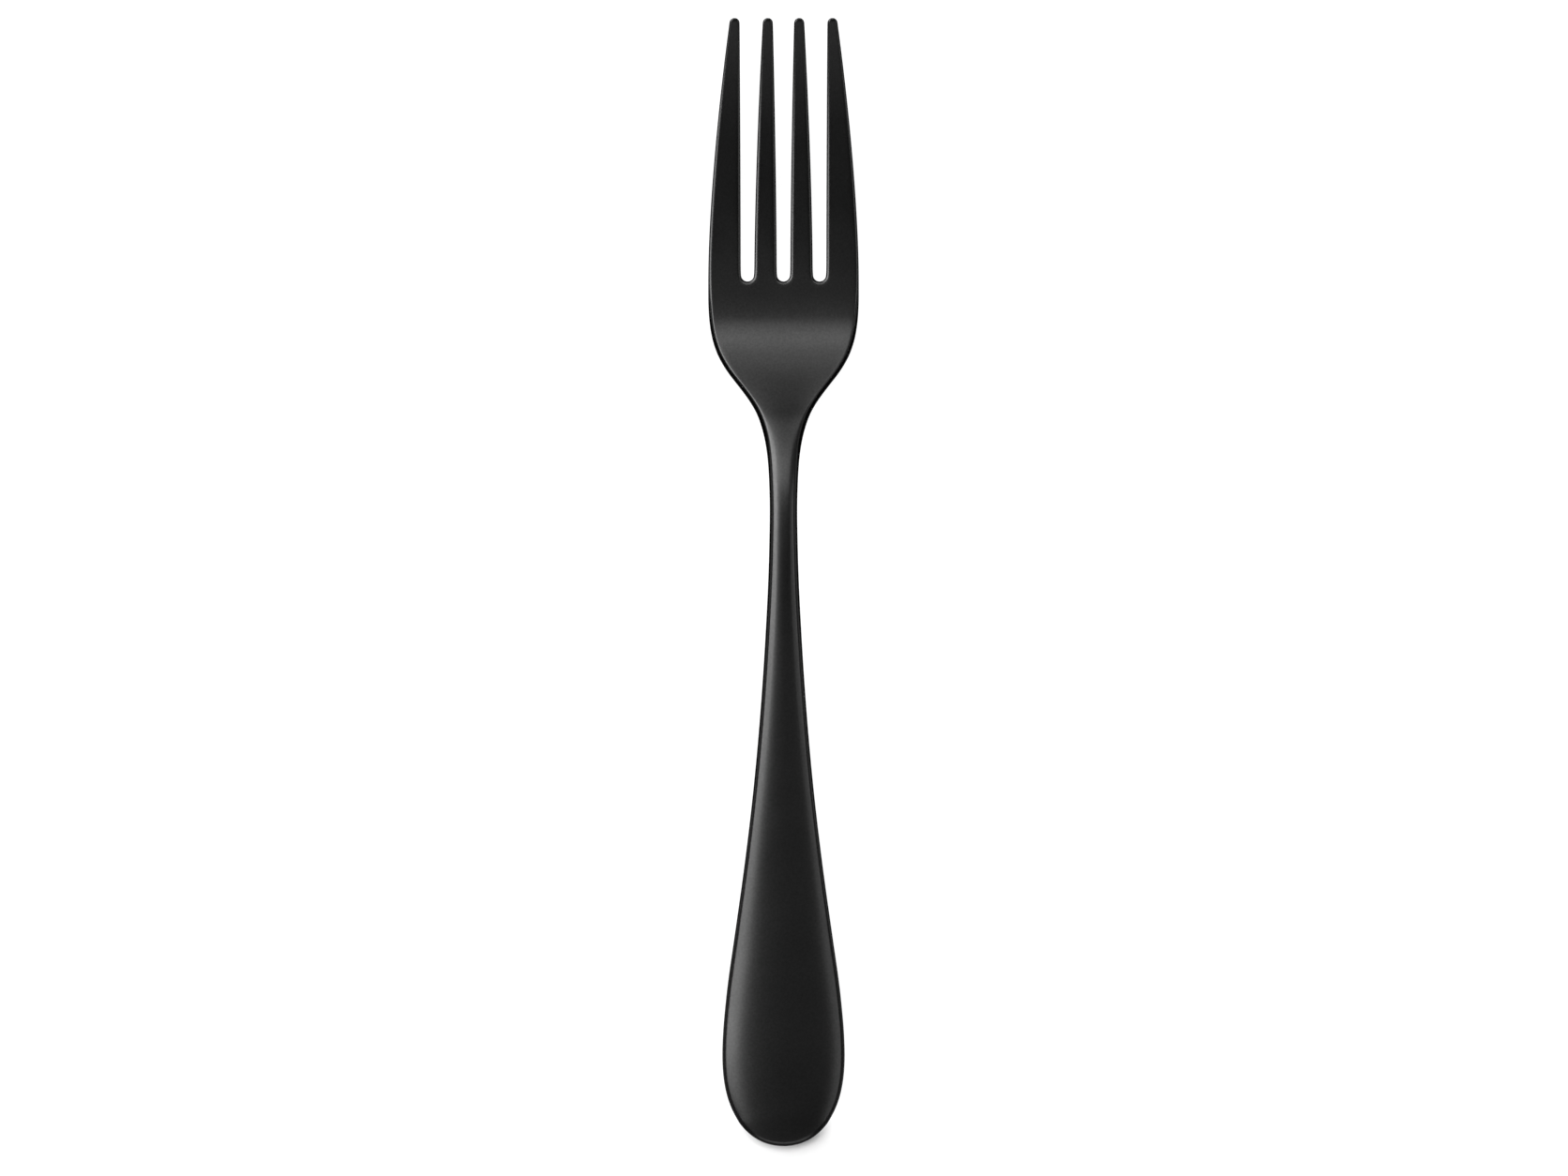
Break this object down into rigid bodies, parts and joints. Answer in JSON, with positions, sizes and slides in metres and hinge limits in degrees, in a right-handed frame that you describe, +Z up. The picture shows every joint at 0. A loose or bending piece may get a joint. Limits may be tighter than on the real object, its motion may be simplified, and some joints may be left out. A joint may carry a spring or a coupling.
{
  "type": "dinner fork",
  "caption": "Slim dinner fork with tapering curved tines, a flat head, an arched neck and a teardrop handle, matt black.",
  "frame": {"origin": "middle of the fork's length and width, on the table that it lies on face up", "axes": "+Y from the handle towards the tips of the tines, +X to the right, +Z up out of the fork's face"},
  "size_m": [0.0274, 0.205, 0.0145],
  "materials": {
    "black_coated_steel": "matt black coating over forged stainless steel"
  },
  "bodies": {
    "root": {"tine_outer_left": "black_coated_steel", "tine_inner_left": "black_coated_steel", "tine_inner_right": "black_coated_steel", "tine_outer_right": "black_coated_steel", "head": "black_coated_steel", "neck": "black_coated_steel", "handle": "black_coated_steel"}
  },
  "joints": []
}
